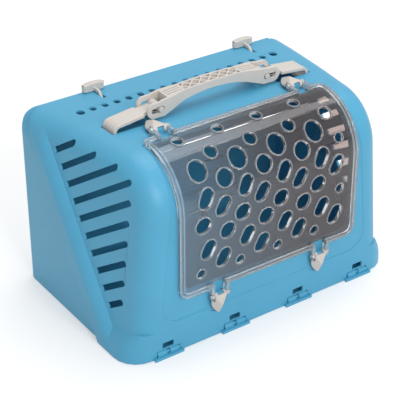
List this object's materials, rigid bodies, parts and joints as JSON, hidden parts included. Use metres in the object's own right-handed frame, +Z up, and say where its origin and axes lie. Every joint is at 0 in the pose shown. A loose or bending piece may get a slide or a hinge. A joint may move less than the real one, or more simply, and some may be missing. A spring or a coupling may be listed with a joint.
{
  "type": "pet carrier",
  "caption": "Hard pet carrier: base and front shells meeting on a slanted seam, clear vented door with petal latches, and a lifting handle.",
  "frame": {"origin": "centre of the underside, on the surface that the carrier stands on", "axes": "+X to the right as seen from the front, +Y to the rear, +Z up; the door faces -Y"},
  "size_m": [0.416, 0.2644, 0.2835],
  "materials": {
    "blue_plastic": "satin sky-blue moulded polypropylene",
    "beige_plastic": "satin warm light grey moulded plastic",
    "clear_plastic": "clear, slightly grey moulded plastic",
    "pin_plastic": "plain moulded pin"
  },
  "bodies": {
    "base": {"base_shell": "blue_plastic"},
    "front": {"front_shell": "blue_plastic", "latch_pin_low_left": "pin_plastic", "latch_pin_low_right": "pin_plastic", "latch_pin_high_left": "pin_plastic", "latch_pin_high_right": "pin_plastic"},
    "door": {"door_panel": "clear_plastic"},
    "low_latch_left": {"door_latch_low_left": "beige_plastic"},
    "low_latch_right": {"door_latch_low_right": "beige_plastic"},
    "high_latch_left": {"door_latch_high_left": "beige_plastic"},
    "high_latch_right": {"door_latch_high_right": "beige_plastic"},
    "rear_latch_left": {"rear_latch_left": "beige_plastic"},
    "rear_latch_right": {"rear_latch_right": "beige_plastic"},
    "grip": {"handle_grip": "beige_plastic"},
    "strap_left": {"handle_strap_left": "beige_plastic", "cross_pin_left": "beige_plastic"},
    "strap_right": {"handle_strap_right": "beige_plastic", "cross_pin_right": "beige_plastic"}
  },
  "joints": [
    {"name": "front_hinge", "type": "hinge", "parent": "base", "child": "front", "pos_m": [0, -0.1236, 0.006], "axis": [1, 0, 0], "range_deg": [0, 75]},
    {"name": "door_hinge", "type": "hinge", "parent": "front", "child": "door", "pos_m": [0, -0.1316, 0.0655], "axis": [1, 0, 0], "range_deg": [0, 100]},
    {"name": "low_latch_left_turn", "type": "hinge", "parent": "front", "child": "low_latch_left", "pos_m": [-0.078, -0.1316, 0.0655], "axis": [-1, 0, 0], "range_deg": [0, 45]},
    {"name": "low_latch_right_turn", "type": "hinge", "parent": "front", "child": "low_latch_right", "pos_m": [0.078, -0.1316, 0.0655], "axis": [-1, 0, 0], "range_deg": [0, 45]},
    {"name": "high_latch_left_turn", "type": "hinge", "parent": "front", "child": "high_latch_left", "pos_m": [-0.1025, -0.041, 0.2606], "axis": [1, 0, 0], "range_deg": [0, 100]},
    {"name": "high_latch_right_turn", "type": "hinge", "parent": "front", "child": "high_latch_right", "pos_m": [0.1025, -0.041, 0.2606], "axis": [1, 0, 0], "range_deg": [0, 100]},
    {"name": "rear_latch_left_turn", "type": "hinge", "parent": "front", "child": "rear_latch_left", "pos_m": [-0.101, 0.09007, 0.24283], "axis": [1, 0, 0], "range_deg": [0, 60]},
    {"name": "rear_latch_right_turn", "type": "hinge", "parent": "front", "child": "rear_latch_right", "pos_m": [0.134, 0.09007, 0.24283], "axis": [1, 0, 0], "range_deg": [0, 60]},
    {"name": "handle_lift", "type": "slide", "parent": "front", "child": "grip", "axis": [0, 0, 1], "range_m": [0, 0.018]},
    {"name": "strap_left_turn", "type": "hinge", "parent": "front", "child": "strap_left", "pos_m": [-0.143, 0.0015, 0.247], "axis": [0, -1, 0], "range_deg": [0, 17.51]},
    {"name": "strap_right_turn", "type": "hinge", "parent": "front", "child": "strap_right", "pos_m": [0.143, 0.0015, 0.247], "axis": [0, 1, 0], "range_deg": [0, 17.51]}
  ],
  "couplings": [
    {"joint": "strap_left_turn", "follows": "handle_lift", "rad_per_m": 16.973},
    {"joint": "strap_right_turn", "follows": "handle_lift", "rad_per_m": 16.973}
  ]
}
